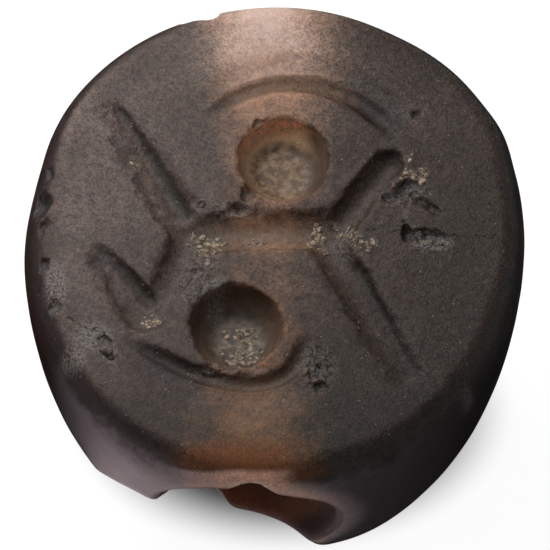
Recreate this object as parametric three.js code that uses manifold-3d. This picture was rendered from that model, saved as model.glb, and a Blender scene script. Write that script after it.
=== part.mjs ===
// Stamp seal: one dome of dark translucent stone, pierced from side to side for a cord and
// engraved with an abstract figure on its flat face. Millimetres, +Z out of the engraved face,
// +Y along the bore, the origin at the height of the worn flat on the back, mid outline.
// The parts of a seal like this were all cut with a turning drill, so each cut here is the
// shape of the tool that made it: a ball, a spindle, a swept bead or a cone.
import * as THREE from "three";
import { mergeVertices } from "three/addons/utils/BufferGeometryUtils.js";
import Module from "manifold-3d";

const wasm = await Module();
wasm.setup();

// The dome
const stoneWidth = 21.8; // across the bore, at the widest
const stoneLength = 23.8; // along the bore, at the widest
const stoneHeight = 17.4; // worn flat to engraved face
const faceWidth = 19.6; // flat of the engraved face, across the bore
const girdleDepth = 2.2; // the widest outline lies this far under the face
const domeFullness = 2.1; // 2 gives an ellipse, more gives squarer shoulders
const backFlatWidth = 7.6; // worn flat, across the bore
// The outline was ground by eye, so it leaves the oval by these shares of its radius
const outlineSkew = 0.0094; // fuller to the upper right and lower left
const outlinePear = 0.0117; // fuller at three points
const outlineSquare = -0.0065; // fuller on the four diagonals
// Where it was ground flatter or left fuller: degrees round it, spread in degrees, and share
const outlineGrinds = [
  { at: 27, spread: 6, share: 0.0115 },
  { at: 60, spread: 14, share: -0.0155 },
  { at: 165, spread: 12, share: -0.0155 },
  { at: 283, spread: 9, share: -0.0155 },
];

// The bore, drilled from both ends to meet in the middle
const boreWidth = 6.8; // at the meeting
const boreDepth = 5.9; // axis under the face, at the meeting
const mouthWidth = 7.85; // worn open where the cord ran
const mouthFlare = 2.5; // power of the widening, 1 is a plain cone
const mouthDepth = 5.3; // axis under the face, at each mouth
const frontMouthAcross = -1.3;
const backMouthAcross = 0.45;
const drillReach = 1.25; // the cutting shape runs past the mouth by a quarter of its length

// The two ball-drilled hollows
const hollowWidth = 3.9;
const hollowDepth = 1.35;
const hollowFloorWidth = 1.9;
const hollowOver = 0.15; // the widest turn of the ball stays this far above the face
const upperHollow = { across: 0.41, along: 3.61 };
const lowerHollow = { across: -1.61, along: -4.42 };

// The straight strokes
const barWidth = 1.8;
const barDepth = 0.6;
const barLeft = { across: -3.54, along: 0.05 };
const barRight = { across: 2.64, along: 0.24 };
const limbDepth = 0.6;
const fadedDepth = 0.24;
// Each limb leaves one end of the bar and narrows to its tip
const upperLeftLimb = { rootWidth: 1.7, tipWidth: 1.0, across: -6.8, along: 5.55 };
const lowerRightLimb = { rootWidth: 1.85, tipWidth: 1.5, across: 5.65, along: -6.5 };
const upperRightLimb = { rootWidth: 1.45, tipWidth: 1.2, across: 4.95, along: 3.4 };
const lowerLeftLimb = { rootWidth: 1.5, tipWidth: 1.4, across: -5.1, along: -3.85 };
// A short stroke at the left, joined to nothing
const loneStart = { across: -7.4, along: -0.8, width: 0.8 };
const loneEnd = { across: -5.35, along: -3.8, width: 1.35 };
const loneDepth = 0.4;

// The curved strokes. Places along them carry their share of the full depth
const browCentre = { across: 0.87, along: 2.36 };
const browRadius = 5.0;
const browWidth = 0.8;
const browDepth = 0.36;
const browTurn = { from: 142, to: 30 };
const crescentRadius = 5.6;
const crescentWidth = 1.36;
const crescentDepth = 0.22;
const crescentTurn = { from: 142, to: 28 };
const tailWidth = 0.75;
const tailDepth = 0.36;
const faintWidth = 0.9;
const faintDepth = 0.1;

// The break in the front of the hoop: scars that lean in under the stone. Each has the place of its
// middle, its depth under the face, and its sizes across, along and up
const breakLean = 26.5; // degrees
const hoopScars = [
  { across: -3.3, along: -10.25, depth: 12, size: { across: 10.8, along: 5.4, up: 34 } },
  { across: -7.25, along: -11.75, depth: 12.5, size: { across: 11.4, along: 11.4, up: 22.8 } },
  { across: -2.55, along: -16.45, depth: 14, size: { across: 9.6, along: 9.6, up: 17.4 } },
];
// The flank beside the break is ground to a broad, nearly flat facet, as by a very large ball
const flankGrind = {
  across: -24,
  along: -34.4,
  depth: 12,
  size: { across: 58.8, along: 58.8, up: 80 },
};

// Chips round the rim: place, depth under the face, and sizes across, along and up
const rimChips = [
  { across: -0.9, along: -11.45, depth: 1.7, size: { across: 2.1, along: 2.9, up: 2.1 } },
  { across: -10.2, along: 1.5, depth: 0.05, size: { across: 1.1, along: 1.6, up: 1.0 } },
  { across: -3.3, along: 10.95, depth: 0.6, size: { across: 2.2, along: 1.0, up: 2.4 } },
];

// Pits in the face: the slit at the left, the flaked chip at the right and one by the tail's hook
const facePits = [
  { across: -7.2, along: -5.35, depth: 0, turn: 22, size: { across: 0.4, along: 1.24, up: 1.1 } },
  { across: 5.95, along: 0.0, depth: 0, turn: -10, size: { across: 1.1, along: 0.6, up: 0.8 } },
  { across: 6.7, along: -0.5, depth: 0, turn: -25, size: { across: 1.6, along: 0.84, up: 0.6 } },
  { across: 1.65, along: -6.6, depth: 0, turn: 20, size: { across: 0.6, along: 0.9, up: 0.6 } },
];

// Facets
const domeFacets = 88;
const domeRows = 14;
const rimRows = 5;
const boreFacets = 32;
const strokeFacets = 28;
const beadFacets = 14;
const drillRows = 8;
const drillEndRows = 4;
const hollowRows = 8;
const strokeEndRows = 5;
const scarFacets = 24;
const grindFacets = 96;
const pitFacets = 15;

const stoneRadius = stoneWidth / 2;
const ovalness = stoneLength / stoneWidth;

// A closed three.js shape as a solid that can be joined and cut
function solidOf(geometry) {
  const bare = geometry.clone();
  bare.deleteAttribute("normal");
  bare.deleteAttribute("uv");
  const merged = mergeVertices(bare, 1e-5);
  const corners = merged.index.array;
  const kept = [];
  for (let i = 0; i < corners.length; i += 3) {
    const [a, b, c] = corners.slice(i, i + 3);
    if (a !== b && b !== c && c !== a) kept.push(a, b, c);
  }
  return new wasm.Manifold(
    new wasm.Mesh({
      numProp: 3,
      vertProperties: new Float32Array(merged.attributes.position.array),
      triVerts: new Uint32Array(kept),
    }),
  );
}

// A solid back as a three.js shape with flat facets
function geometryOf(solid) {
  const mesh = solid.getMesh();
  const geometry = new THREE.BufferGeometry();
  geometry.setAttribute("position", new THREE.BufferAttribute(mesh.vertProperties, 3));
  geometry.setIndex(new THREE.BufferAttribute(mesh.triVerts, 1));
  const faceted = geometry.toNonIndexed();
  faceted.computeVertexNormals();
  return faceted;
}

// A point on the face, or a distance under it
function underFace(place, depth = 0) {
  return new THREE.Vector3(place.across, place.along, stoneHeight - depth);
}

// Radius of the ball that leaves a groove of this width and depth
function ballRadius(width, depth) {
  return (width ** 2 / 4 + depth ** 2) / (2 * depth);
}

// A lathe turned about the line from start towards end, its profile measured from start
function turnedAlong(profile, start, end, facets) {
  const geometry = new THREE.LatheGeometry(profile, facets);
  const direction = new THREE.Vector3().subVectors(end, start).normalize();
  const up = new THREE.Vector3(0, 1, 0);
  geometry.applyQuaternion(new THREE.Quaternion().setFromUnitVectors(up, direction));
  geometry.translate(start.x, start.y, start.z);
  return geometry;
}

// How far the hand-ground outline stands out of the oval, as a factor, at an angle round it
function outlineSwell(angle) {
  const skew = outlineSkew * Math.sin(2 * angle);
  const pear = outlinePear * Math.sin(3 * angle);
  const square = outlineSquare * Math.cos(4 * angle);
  const degrees = THREE.MathUtils.euclideanModulo(THREE.MathUtils.radToDeg(angle), 360);
  const grinds = outlineGrinds.map(
    (grind) => grind.share * Math.exp(-(((degrees - grind.at) / grind.spread) ** 2)),
  );
  return grinds.reduce((swell, grind) => swell + grind, 1 + skew + pear + square);
}

// The whole dome before any cut: worn flat, superelliptic dome, rolled rim and flat face
function dome() {
  const flatShare = backFlatWidth / stoneWidth;
  const reach = (1 - flatShare ** domeFullness) ** (1 / domeFullness);
  const domeDepth = (stoneHeight - girdleDepth) / reach;
  const girdleHeight = stoneHeight - girdleDepth;
  const profile = [new THREE.Vector2(0, 0)];
  const steepest = Math.acos(flatShare ** (domeFullness / 2));
  for (let row = 0; row <= domeRows; row++) {
    const angle = steepest * (1 - row / domeRows);
    const radius = stoneRadius * Math.cos(angle) ** (2 / domeFullness);
    const depth = domeDepth * Math.sin(angle) ** (2 / domeFullness);
    profile.push(new THREE.Vector2(radius, girdleHeight - depth));
  }
  const rimReach = stoneRadius - faceWidth / 2;
  for (let row = 1; row <= rimRows; row++) {
    const angle = ((row / rimRows) * Math.PI) / 2;
    const radius = stoneRadius - rimReach * (1 - Math.cos(angle));
    profile.push(new THREE.Vector2(radius, girdleHeight + girdleDepth * Math.sin(angle)));
  }
  profile.push(new THREE.Vector2(0, stoneHeight));
  const geometry = new THREE.LatheGeometry(profile, domeFacets);
  geometry.rotateX(Math.PI / 2);
  const places = geometry.attributes.position;
  for (let i = 0; i < places.count; i++) {
    const angle = Math.atan2(places.getY(i), places.getX(i));
    const swell = outlineSwell(angle);
    places.setXY(i, places.getX(i) * swell, places.getY(i) * swell * ovalness);
  }
  return solidOf(geometry);
}

// One drilling, from the middle of the stone out past its mouth, wider towards the mouth
function drilling(mouthAcross, side) {
  const meeting = underFace({ across: 0, along: 0 }, boreDepth);
  const mouth = underFace({ across: mouthAcross, along: (side * stoneLength) / 2 }, mouthDepth);
  const length = meeting.distanceTo(mouth);
  const profile = [];
  for (let row = 0; row <= drillEndRows; row++) {
    const angle = (row / drillEndRows - 1) * (Math.PI / 2);
    const radius = (boreWidth / 2) * Math.cos(angle);
    profile.push(new THREE.Vector2(row === 0 ? 0 : radius, (boreWidth / 4) * Math.sin(angle)));
  }
  for (let row = 1; row <= drillRows; row++) {
    const share = (row / drillRows) * drillReach;
    const widening = (mouthWidth - boreWidth) * share ** mouthFlare;
    profile.push(new THREE.Vector2((boreWidth + widening) / 2, share * length));
  }
  profile.push(new THREE.Vector2(0, drillReach * length));
  return solidOf(turnedAlong(profile, meeting, mouth, boreFacets));
}

// A ball-drilled hollow with a nearly flat floor
function hollow(place) {
  const depth = hollowDepth + hollowOver;
  const wall = (hollowWidth - hollowFloorWidth) / 2;
  const profile = [new THREE.Vector2(0, -depth)];
  for (let row = 0; row <= hollowRows; row++) {
    const angle = ((row / hollowRows) * Math.PI) / 2;
    const radius = hollowFloorWidth / 2 + wall * Math.sin(angle);
    profile.push(new THREE.Vector2(radius, -depth * Math.cos(angle)));
  }
  profile.push(new THREE.Vector2(hollowWidth / 2, depth), new THREE.Vector2(0, depth));
  const geometry = new THREE.LatheGeometry(profile, strokeFacets);
  geometry.rotateX(Math.PI / 2);
  const centre = underFace(place, -hollowOver);
  geometry.translate(centre.x, centre.y, centre.z);
  return solidOf(geometry);
}

// A straight stroke: a spindle sunk in the face, with its own width and depth at each end
function stroke(from, to) {
  const fromRadius = ballRadius(from.width, from.depth);
  const toRadius = ballRadius(to.width, to.depth);
  const start = underFace(from, from.depth - fromRadius);
  const end = underFace(to, to.depth - toRadius);
  const length = start.distanceTo(end);
  const rows = strokeEndRows;
  const profile = [];
  for (let row = 0; row <= rows; row++) {
    const angle = (row / rows - 1) * (Math.PI / 2);
    const radius = row === 0 ? 0 : fromRadius * Math.cos(angle);
    profile.push(new THREE.Vector2(radius, fromRadius * Math.sin(angle)));
  }
  for (let row = 0; row <= rows; row++) {
    const angle = (row / rows) * (Math.PI / 2);
    const radius = row === rows ? 0 : toRadius * Math.cos(angle);
    profile.push(new THREE.Vector2(radius, length + toRadius * Math.sin(angle)));
  }
  return solidOf(turnedAlong(profile, start, end, strokeFacets));
}

// A curved stroke: a bead swept along a path that dips under the face between its ends
function sweptStroke(width, depth, places) {
  const radius = ballRadius(width, depth);
  const path = new THREE.CatmullRomCurve3(
    places.map((place) => underFace(place, place.share * depth - radius)),
  );
  const bead = new THREE.Shape().absarc(0, 0, radius, 0, Math.PI * 2);
  const geometry = new THREE.ExtrudeGeometry(bead, {
    steps: places.length * 4,
    curveSegments: beadFacets,
    bevelEnabled: false,
    extrudePath: path,
  });
  return solidOf(geometry);
}

// Places along a circle on the face, each with its share of the full depth
function arcPlaces(centre, radius, turn, shares) {
  return shares.map((share, index) => {
    const degrees = turn.from + ((turn.to - turn.from) * index) / (shares.length - 1);
    const angle = THREE.MathUtils.degToRad(degrees);
    return {
      across: centre.across + radius * Math.cos(angle),
      along: centre.along + radius * Math.sin(angle),
      share,
    };
  });
}

// A limb of the figure, from one end of the bar to its tip
function limb(root, limbSizes, tipDepth) {
  return stroke(
    { ...root, width: limbSizes.rootWidth, depth: limbDepth },
    { ...limbSizes, width: limbSizes.tipWidth, depth: tipDepth },
  );
}

// The bar, the limbs that leave its two ends, and the lone stroke
function straightStrokes() {
  const bar = { width: barWidth, depth: barDepth };
  return [
    stroke({ ...barLeft, ...bar }, { ...barRight, ...bar }),
    limb(barLeft, upperLeftLimb, fadedDepth),
    limb(barRight, lowerRightLimb, fadedDepth),
    limb(barRight, upperRightLimb, limbDepth),
    limb(barLeft, lowerLeftLimb, fadedDepth),
    stroke({ ...loneStart, depth: fadedDepth }, { ...loneEnd, depth: loneDepth }),
  ];
}

// The brow over the upper hollow, its broad shallow crescent, and the tail under the lower hollow
// with a faint second line below it
function curvedStrokes() {
  const browShares = [-0.4, 0.25, 0.45, 0.6, 0.8, 1, -0.4];
  const crescentShares = [-0.4, 0.4, 0.8, 1, 1, 0.7, -0.4];
  const tail = [
    { across: -6.4, along: -5.1, share: -0.4 },
    { across: -5.0, along: -5.85, share: 0.7 },
    { across: -3.2, along: -6.75, share: 1 },
    { across: -1.0, along: -7.2, share: 1 },
    { across: 0.5, along: -6.75, share: 0.9 },
    { across: 1.18, along: -5.7, share: 0.7 },
    { across: 1.25, along: -4.8, share: -0.4 },
  ];
  const faintLine = [
    { across: -6.0, along: -6.1, share: -0.4 },
    { across: -4.3, along: -7.55, share: 1 },
    { across: -3.1, along: -8.1, share: 1 },
    { across: -1.2, along: -8.9, share: -0.4 },
  ];
  return [
    sweptStroke(browWidth, browDepth, arcPlaces(browCentre, browRadius, browTurn, browShares)),
    sweptStroke(
      crescentWidth,
      crescentDepth,
      arcPlaces(browCentre, crescentRadius, crescentTurn, crescentShares),
    ),
    sweptStroke(tailWidth, tailDepth, tail),
    sweptStroke(faintWidth, faintDepth, faintLine),
  ];
}

// An oval ball of stone struck off, leaned towards the back or turned about the upright
function scar(place, facets, { lean = 0, turn = 0 } = {}) {
  const size = place.size;
  const middle = underFace(place, place.depth);
  const geometry = new THREE.SphereGeometry(1, facets, (facets * 2) / 3);
  geometry.scale(size.across / 2, size.along / 2, size.up / 2);
  geometry.rotateX(THREE.MathUtils.degToRad(lean));
  geometry.rotateZ(THREE.MathUtils.degToRad(turn));
  geometry.translate(middle.x, middle.y, middle.z);
  return solidOf(geometry);
}

// The break that opened the front of the hoop, the ground flank, the rim's chips and the face's pits
function damage() {
  return [
    ...hoopScars.map((place) => scar(place, scarFacets, { lean: breakLean })),
    scar(flankGrind, grindFacets, { lean: breakLean }),
    ...rimChips.map((chip) => scar(chip, scarFacets)),
    ...facePits.map((pit) => scar(pit, pitFacets, { turn: pit.turn })),
  ];
}

function sealStone() {
  const cuts = [
    drilling(frontMouthAcross, -1),
    drilling(backMouthAcross, 1),
    hollow(upperHollow),
    hollow(lowerHollow),
    ...straightStrokes(),
    ...curvedStrokes(),
    ...damage(),
  ];
  return cuts.reduce((stone, cut) => stone.subtract(cut), dome());
}

const agate = new THREE.MeshStandardMaterial({ color: 0x4a4340, roughness: 0.5, metalness: 0 });

const seal = new THREE.Group();
seal.name = "stamp_seal";
const stone = new THREE.Mesh(geometryOf(sealStone()), agate);
stone.name = "seal_stone";
// The breaks and the uneven outline leave the box off the face's centre, and the box sets the origin
stone.geometry.computeBoundingBox();
const middle = stone.geometry.boundingBox.getCenter(new THREE.Vector3());
stone.position.set(-middle.x, -middle.y, 0);
seal.add(stone);

export default seal;
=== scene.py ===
# %% [markdown]
# A worn stamp seal of dark agate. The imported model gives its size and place, and this notebook
# gives it its looks. The stone is one piece, so one fine mesh stands for it. It is shaped by a
# formula, a field that is negative inside the stone, because a field blends its cuts with soft,
# worn edges where a boolean would leave them razor sharp.
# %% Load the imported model
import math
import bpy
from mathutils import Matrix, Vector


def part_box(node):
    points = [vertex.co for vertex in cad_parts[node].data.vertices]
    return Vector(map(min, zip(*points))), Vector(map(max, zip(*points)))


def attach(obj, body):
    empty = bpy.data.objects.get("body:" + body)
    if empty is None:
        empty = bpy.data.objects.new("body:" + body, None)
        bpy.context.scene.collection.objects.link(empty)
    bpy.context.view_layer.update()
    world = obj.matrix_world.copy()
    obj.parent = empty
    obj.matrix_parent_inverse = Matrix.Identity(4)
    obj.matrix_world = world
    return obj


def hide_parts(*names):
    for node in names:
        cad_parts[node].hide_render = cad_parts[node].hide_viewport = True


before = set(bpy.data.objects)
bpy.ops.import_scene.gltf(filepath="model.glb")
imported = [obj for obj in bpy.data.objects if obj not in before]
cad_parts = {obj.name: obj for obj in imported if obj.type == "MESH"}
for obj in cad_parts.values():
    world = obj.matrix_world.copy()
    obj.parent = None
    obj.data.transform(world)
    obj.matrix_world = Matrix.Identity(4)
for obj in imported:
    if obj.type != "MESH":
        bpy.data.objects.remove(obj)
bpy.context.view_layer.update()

# %% Libraries and units
from types import SimpleNamespace

import bmesh
import bpy
import numpy as np
from mathutils import Vector

MM = 0.001
scene = bpy.context.scene
scene.view_settings.view_transform = "Standard"

# %% [markdown]
# The stone's own sizes come first, in millimetres, as the cutter would know them. Places on the
# engraved face are measured from its middle, across (X) and along the bore (Y), and heights from
# the face, so the stone lies below zero.
# %% Sizes of the dome
box_low, box_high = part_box("seal_stone")
stone_height = box_high.z / MM
face_middle = np.array([-0.026, 0.139, stone_height])
stone_radius = 10.9
ovalness = 23.8 / 21.8
face_radius = 9.8
girdle_depth = 2.2
dome_fullness = 2.1
back_flat_radius = 3.8
outline_skew = 0.0094
outline_pear = 0.0117
outline_square = -0.0065
# Where it was ground flatter or left fuller: degrees round it, spread in degrees, and share
outline_grinds = ((27, 6, 0.0115), (60, 14, -0.0155), (165, 12, -0.0155), (283, 9, -0.0155))
rim_reach = stone_radius - face_radius
flat_share = back_flat_radius / stone_radius
dome_depth = (stone_height - girdle_depth) / (1 - flat_share**dome_fullness) ** (1 / dome_fullness)
print("stone height", round(stone_height, 2), "mm, dome depth", round(dome_depth, 2), "mm")


# %% [markdown]
# Blending is the heart of the method. The larger of two fields is their cut or their overlap. A
# smooth maximum rounds the edge between them by a chosen width, which is how years in a purse
# round an edge of stone.
# %% Blending and distances
def smooth_max(a, b, width):
    """The larger of two fields, with the edge between them rounded over a width."""
    share = np.clip(0.5 + 0.5 * (a - b) / width, 0, 1)
    return b + (a - b) * share + width * share * (1 - share)


def smooth_min(a, b, width):
    """The smaller of two fields, with a fillet between them."""
    return -smooth_max(-a, -b, width)


def smooth_step(low, high, value):
    """0 below low, 1 above high, and an even curve between."""
    t = np.clip((value - low) / (high - low), 0, 1)
    return t * t * (3 - 2 * t)


def lengths(vectors):
    return np.sqrt((vectors * vectors).sum(axis=-1))


def lattice_noise(points, size, seed):
    """Soft noise from -1 to 1, with lumps of about this size in millimetres."""
    table = np.random.RandomState(seed).rand(32, 32, 32) * 2 - 1
    place = points / size + 97.3
    cell = np.floor(place).astype(int)
    part = place - cell
    part = part * part * (3 - 2 * part)
    total = 0
    for corner in range(8):
        step = np.array([corner & 1, corner >> 1 & 1, corner >> 2 & 1])
        index = (cell + step) % 32
        weight = np.prod(np.where(step == 1, part, 1 - part), axis=-1)
        total = total + weight * table[index[:, 0], index[:, 1], index[:, 2]]
    return total


# %% [markdown]
# The dome is a hand-ground oval: a flat face, a rolled rim down to the widest line, and a full
# dome that ends in a small worn flat. The outline swells a little at some angles, because it was
# ground by eye.
# %% The dome field
def dome_field(p):
    x, y, depth = p[:, 0], p[:, 1] / ovalness, -p[:, 2]
    angle = np.arctan2(y, x)
    swell = 1 + outline_skew * np.sin(2 * angle) + outline_pear * np.sin(3 * angle)
    swell = swell + outline_square * np.cos(4 * angle)
    degrees = np.degrees(angle) % 360
    for at, spread, share in outline_grinds:
        swell = swell + share * np.exp(-(((degrees - at) / spread) ** 2))
    radius = np.hypot(x, y) / swell
    up = (girdle_depth - depth) / girdle_depth
    out = np.clip(radius - face_radius, 0, None) / rim_reach
    roll = np.hypot(np.clip(up, 1e-6, None), out)
    scale = (girdle_depth * up**2 + rim_reach * out**2) / roll**2
    rim = (roll - 1) * scale
    down = np.clip(depth - girdle_depth, 0, None) / dome_depth
    full = (down**dome_fullness + (radius / stone_radius) ** dome_fullness) ** (1 / dome_fullness)
    dome = (full - 1) * stone_radius
    return smooth_max(np.where(depth < girdle_depth, rim, dome), depth - stone_height, 0.5)


# %% [markdown]
# The bore was drilled from both ends and meets in the middle. The cord has worn each mouth wide.
# Each drilling is a distance from a line, less a radius that grows towards the mouth.
# %% The bore field
bore_width, bore_depth = 6.8, 5.9
mouth_width, mouth_depth, mouth_flare = 7.85, 5.3, 2.5
mouths = ((-1.3, -11.9), (0.45, 11.9))


def bore_field(p):
    meeting = np.array([0, 0, -bore_depth])
    drillings = []
    for across, along in mouths:
        mouth = np.array([across, along, -mouth_depth])
        length = lengths(mouth - meeting)
        axis = (mouth - meeting) / length
        reach = (p - meeting) @ axis
        off = lengths(p - meeting - reach[:, None] * axis)
        widening = (mouth_width - bore_width) * np.clip(reach / length, 0, None) ** mouth_flare
        drilled = off - (bore_width + widening) / 2
        blind = np.hypot(off, 2 * reach) - bore_width / 2
        drillings.append(np.where(reach > 0, drilled, blind))
    return smooth_min(drillings[0], drillings[1], 0.4)


# %% [markdown]
# The engraver worked with a turning drill. A ball sunk straight in leaves a round hollow, a ball
# drawn along leaves a stroke with a round floor, and lifting the tool makes the stroke fade.
# %% Hollows and strokes
hollows = ((0.41, 3.61), (-1.61, -4.42))
hollow_radius, hollow_floor, hollow_depth = 1.95, 0.95, 1.35
bar_left, bar_right = (-3.54, 0.05), (2.64, 0.24)
bar_width, bar_depth = 1.8, 0.6
limb_depth, faded_depth = 0.6, 0.24
# Each straight stroke: start, end, width and depth at the start, width and depth at the end
strokes = (
    (bar_left, bar_right, (bar_width, bar_depth), (bar_width, bar_depth)),
    (bar_left, (-6.8, 5.55), (2.0, 0.52), (1.5, 0.14)),
    ((2.05, 0.1), (5.5, -6.5), (1.75, limb_depth), (1.45, faded_depth)),
    (bar_left, (-5.1, -3.85), (1.5, limb_depth), (1.4, faded_depth)),
    (bar_right, (4.95, 3.4), (1.45, limb_depth), (1.2, limb_depth)),
    ((-7.45, -1.3), (-5.75, -3.85), (0.9, 0.16), (1.7, 0.4)),
    # The tool bit deeper along one edge of three limbs
    ((-6.65, 5.9), (-4.05, 1.1), (0.62, 0.22), (1.1, 0.64)),
    ((-7.45, -0.75), (-5.35, -3.15), (0.45, 0.14), (0.8, 0.48)),
    ((3.45, -1.6), (5.85, -6.5), (0.6, 0.5), (0.5, 0.3)),
)
# Painted shade and old dirt lie along those three edges, in lines of this half width
shaded_half_width = 0.12
shaded_edges = (
    ((-6.42, 6.0), (-3.75, 1.15)), ((-7.3, -0.66), (-5.15, -3.05)), ((3.66, -1.55), (6.05, -6.45)),
)


def ball_radius(width, depth):
    """Radius of the ball that leaves a groove of this width and depth."""
    return (width**2 / 4 + depth**2) / (2 * depth)


def hollow_field(p, place):
    over = 0.15
    off = np.hypot(p[:, 0] - place[0], p[:, 1] - place[1])
    wall = hollow_radius - hollow_floor
    depth = hollow_depth + over
    out = np.clip(off - hollow_floor, 0, None) / wall
    down = np.clip(over - p[:, 2], 0, None) / depth
    bowl = np.hypot(out, down)
    scale = (wall * out**2 + depth * down**2) / np.clip(bowl, 1e-6, None) ** 2
    return (bowl - 1) * scale


def stroke_field(p, start, end, first, last):
    first_ball, last_ball = ball_radius(*first), ball_radius(*last)
    a = np.array([*start, first_ball - first[1]])
    b = np.array([*end, last_ball - last[1]])
    share = np.clip((p - a) @ (b - a) / ((b - a) @ (b - a)), 0, 1)
    return lengths(p - a - share[:, None] * (b - a)) - (first_ball + share * (last_ball - first_ball))


def straight_field(p):
    field = stroke_field(p, *strokes[0])
    for stroke in strokes[1:]:
        field = smooth_min(field, stroke_field(p, *stroke), 0.1)
    return field


# %% [markdown]
# The brow over the upper hollow is a thin arc with a broad, shallow crescent outside it. The tail
# under the lower hollow is a long arc that ends in a hook. An arc is a distance from a circle, and
# the tail, the slope under it and a faint line each a distance from a chain of short lines.
# %% Curved strokes
brow_middle = (0.87, 2.36)
brow = {"radius": 4.95, "width": 0.95, "depth": 0.42, "from": 22, "to": 146}
brow_shares = (-0.4, 1, 0.9, 0.7, 0.55, 0.4, -0.4)
crescent = {"radius": 5.6, "width": 1.36, "depth": 0.22, "from": 22, "to": 142}
crescent_shares = (-0.4, 0.7, 1, 1, 0.8, 0.4, -0.4)
# Each path: its places across and along, with the share of its depth there, then width and depth
tail = ((
    (-6.4, -5.1, -0.4), (-5.0, -5.85, 0.7), (-3.2, -6.75, 1.0), (-1.0, -7.2, 1.0),
    (0.5, -6.75, 0.9), (1.18, -5.7, 0.7), (1.25, -4.8, -0.4),
), 0.75, 0.36)
slope_below = ((
    (-6.2, -5.9, -0.4), (-4.6, -6.9, 1.0), (-2.6, -7.7, 1.0), (-0.4, -7.8, 1.0), (1.2, -6.9, -0.4),
), 1.9, 0.17)
faint_line = ((
    (-6.0, -6.1, -0.4), (-4.3, -7.55, 1.0), (-3.1, -8.1, 1.0), (-1.2, -8.9, -0.4),
), 0.9, 0.12)


def arc_field(p, arc, shares):
    x, y = p[:, 0] - brow_middle[0], p[:, 1] - brow_middle[1]
    angle = np.degrees(np.arctan2(y, x))
    steps = np.linspace(arc["from"], arc["to"], len(shares))
    share = np.interp(angle, steps, shares, left=-0.6, right=-0.6)
    ball = ball_radius(arc["width"], arc["depth"])
    rise = p[:, 2] - (ball - share * arc["depth"])
    return np.hypot(np.hypot(x, y) - arc["radius"], rise) - ball


def smooth_path(places, pieces=5):
    """Points along a Catmull-Rom curve through the places."""
    knots = np.array([places[0], *places, places[-1]], float)
    points = []
    for i in range(1, len(knots) - 2):
        p0, p1, p2, p3 = knots[i - 1 : i + 3]
        for t in np.arange(pieces) / pieces:
            bend = (2 * p0 - 5 * p1 + 4 * p2 - p3) * t**2 + (3 * p1 - p0 - 3 * p2 + p3) * t**3
            points.append(0.5 * (2 * p1 + (p2 - p0) * t + bend))
    points.append(knots[-1])
    return np.array(points)


def path_field(p, places, width, depth):
    ball = ball_radius(width, depth)
    path = smooth_path(places)
    path[:, 2] = ball - path[:, 2] * depth
    nearest = np.full(len(p), 9.0)
    close = np.nonzero(p[:, 2] > -1.5)[0]
    q = p[close]
    best = nearest[close]
    for a, b in zip(path[:-1], path[1:]):
        share = np.clip((q - a) @ (b - a) / ((b - a) @ (b - a)), 0, 1)
        best = np.minimum(best, lengths(q - a - share[:, None] * (b - a)))
    nearest[close] = best
    return nearest - ball


def curved_field(p):
    field = arc_field(p, brow, brow_shares)
    field = smooth_min(field, arc_field(p, crescent, crescent_shares), 0.05)
    for path in (tail, slope_below, faint_line):
        field = smooth_min(field, path_field(p, *path), 0.05)
    return field


# %% [markdown]
# A blow opened the front of the hoop at the lower left. Each flake scar is an oval ball, leaned in
# under the stone. Small scars nick the rim, and pits and torn patches roughen the face.
# %% Breaks and nicks
break_lean = math.radians(26.5)
# Each scar or nick: the place of its middle, then half sizes across, along and up
lip_scar = ((-3.3, -10.25, -12), (5.4, 2.7, 17))
hoop_scars = (
    ((-7.25, -11.75, -12.5), (5.7, 5.7, 11.4)),
    ((-2.55, -16.45, -14), (4.8, 4.8, 8.7)),
    ((-3.75, -7.6, -12.7), (2.1, 1.95, 8.2)),
)
flank_wear = ((-24, -34.4, -12), (29.4, 29.4, 40))
lip_nick = ((-0.95, -11.5, -1.75), (0.85, 1.2, 0.85))
nicks = (
    ((-10.2, 1.5, -0.05), (0.55, 0.8, 0.5)),
    ((-3.3, 10.95, -0.6), (1.1, 0.5, 1.2)),
    ((-9.95, 0.4, 0.1), (0.4, 0.5, 0.4)),
    ((-9.9, -1.6, 0.1), (0.3, 0.6, 0.35)),
    ((-9.6, -3.6, 0.1), (0.4, 0.5, 0.35)),
    ((-9.75, 3.2, 0.12), (0.35, 0.6, 0.35)),
    ((9.7, 5.2, 0.1), (0.4, 0.3, 0.35)),
    ((6.2, 5.75, 0.12), (0.28, 0.14, 0.26)),
    ((-0.6, 5.25, 0.05), (0.4, 0.35, 0.35)),
    ((-1.0, 2.0, 0.05), (0.35, 0.4, 0.4)),
    ((-3.3, 1.3, 0.12), (0.3, 0.2, 0.3)),
    ((-1.6, 1.15, 0.1), (0.5, 0.22, 0.3)),
)
# Pits in the face, each turned by some degrees: the slit at the left comes first
pits = (
    ((-7.2, -5.35, -0.15), (0.24, 0.7, 1.1), 22),
    ((5.72, 0.12, -0.1), (0.2, 0.45, 0.6), 12),
    ((6.5, 0.0, 0.05), (0.75, 0.2, 0.22), -14),
    ((6.75, -0.6, 0.14), (0.85, 0.36, 0.3), -20),
    ((4.95, 1.85, -0.05), (0.3, 0.34, 0.5), 30),
    ((5.5, 2.15, 0.1), (0.55, 0.3, 0.35), 35),
    ((6.5, 1.5, 0.12), (0.75, 0.16, 0.3), -42),
    ((1.65, -6.4, 0.12), (0.26, 0.5, 0.32), 20),
    ((1.95, -7.3, 0.14), (0.2, 0.24, 0.28), 40),
)
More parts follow.
